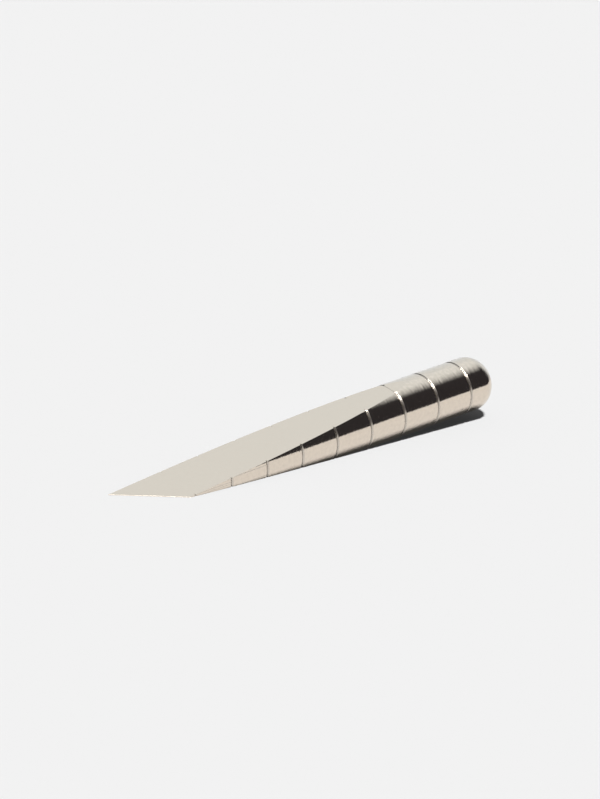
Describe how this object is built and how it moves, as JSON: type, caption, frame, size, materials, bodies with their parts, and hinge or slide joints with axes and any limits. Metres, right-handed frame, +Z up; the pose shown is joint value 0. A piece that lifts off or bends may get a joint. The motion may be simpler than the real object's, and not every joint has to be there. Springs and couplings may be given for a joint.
{
  "type": "snap off knife",
  "caption": "Round steel bar ground to a two-sided wedge with a slanted cutting edge and a domed end, ringed by grooves where its magnet-held segments snap apart.",
  "frame": {"origin": "middle of the bounding box's bottom face, on the surface that the lower flat lies on", "axes": "+X along the knife's footprint from the slanted cutting edge to the domed end cap, +Y across it, +Z up"},
  "size_m": [0.147, 0.018, 0.0203],
  "materials": {
    "polished_steel": "polished, with fine turning and grinding marks",
    "magnet_nickel": "nickel plated"
  },
  "bodies": {
    "blade_tip": {"blade_tip": "polished_steel", "magnet_front_1": "magnet_nickel"},
    "segment_1": {"segment_1": "polished_steel", "magnet_rear_1": "magnet_nickel", "magnet_front_2": "magnet_nickel"},
    "segment_2": {"segment_2": "polished_steel", "magnet_rear_2": "magnet_nickel", "magnet_front_3": "magnet_nickel"},
    "segment_3": {"segment_3": "polished_steel", "magnet_rear_3": "magnet_nickel", "magnet_front_4": "magnet_nickel"},
    "segment_4": {"segment_4": "polished_steel", "magnet_rear_4": "magnet_nickel", "magnet_front_5": "magnet_nickel"},
    "segment_5": {"segment_5": "polished_steel", "magnet_rear_5": "magnet_nickel", "magnet_front_6": "magnet_nickel"},
    "segment_6": {"segment_6": "polished_steel", "magnet_rear_6": "magnet_nickel", "magnet_front_7": "magnet_nickel"},
    "segment_7": {"segment_7": "polished_steel", "magnet_rear_7": "magnet_nickel", "magnet_front_8": "magnet_nickel"},
    "segment_8": {"segment_8": "polished_steel", "magnet_rear_8": "magnet_nickel", "magnet_front_9": "magnet_nickel"},
    "end_cap": {"end_cap": "polished_steel", "magnet_rear_9": "magnet_nickel"}
  },
  "joints": [
    {"name": "snap_1", "type": "slide", "parent": "blade_tip", "child": "segment_1", "axis": [0.9963, 0, 0.0862], "range_m": [0, 0.006]},
    {"name": "snap_2", "type": "slide", "parent": "segment_1", "child": "segment_2", "axis": [0.9963, 0, 0.0862], "range_m": [0, 0.006]},
    {"name": "snap_3", "type": "slide", "parent": "segment_2", "child": "segment_3", "axis": [0.9963, 0, 0.0862], "range_m": [0, 0.006]},
    {"name": "snap_4", "type": "slide", "parent": "segment_3", "child": "segment_4", "axis": [0.9963, 0, 0.0862], "range_m": [0, 0.006]},
    {"name": "snap_5", "type": "slide", "parent": "segment_4", "child": "segment_5", "axis": [0.9963, 0, 0.0862], "range_m": [0, 0.006]},
    {"name": "snap_6", "type": "slide", "parent": "segment_5", "child": "segment_6", "axis": [0.9963, 0, 0.0862], "range_m": [0, 0.006]},
    {"name": "snap_7", "type": "slide", "parent": "segment_6", "child": "segment_7", "axis": [0.9963, 0, 0.0862], "range_m": [0, 0.006]},
    {"name": "snap_8", "type": "slide", "parent": "segment_7", "child": "segment_8", "axis": [0.9963, 0, 0.0862], "range_m": [0, 0.006]},
    {"name": "snap_9", "type": "slide", "parent": "segment_8", "child": "end_cap", "axis": [0.9963, 0, 0.0862], "range_m": [0, 0.006]}
  ]
}
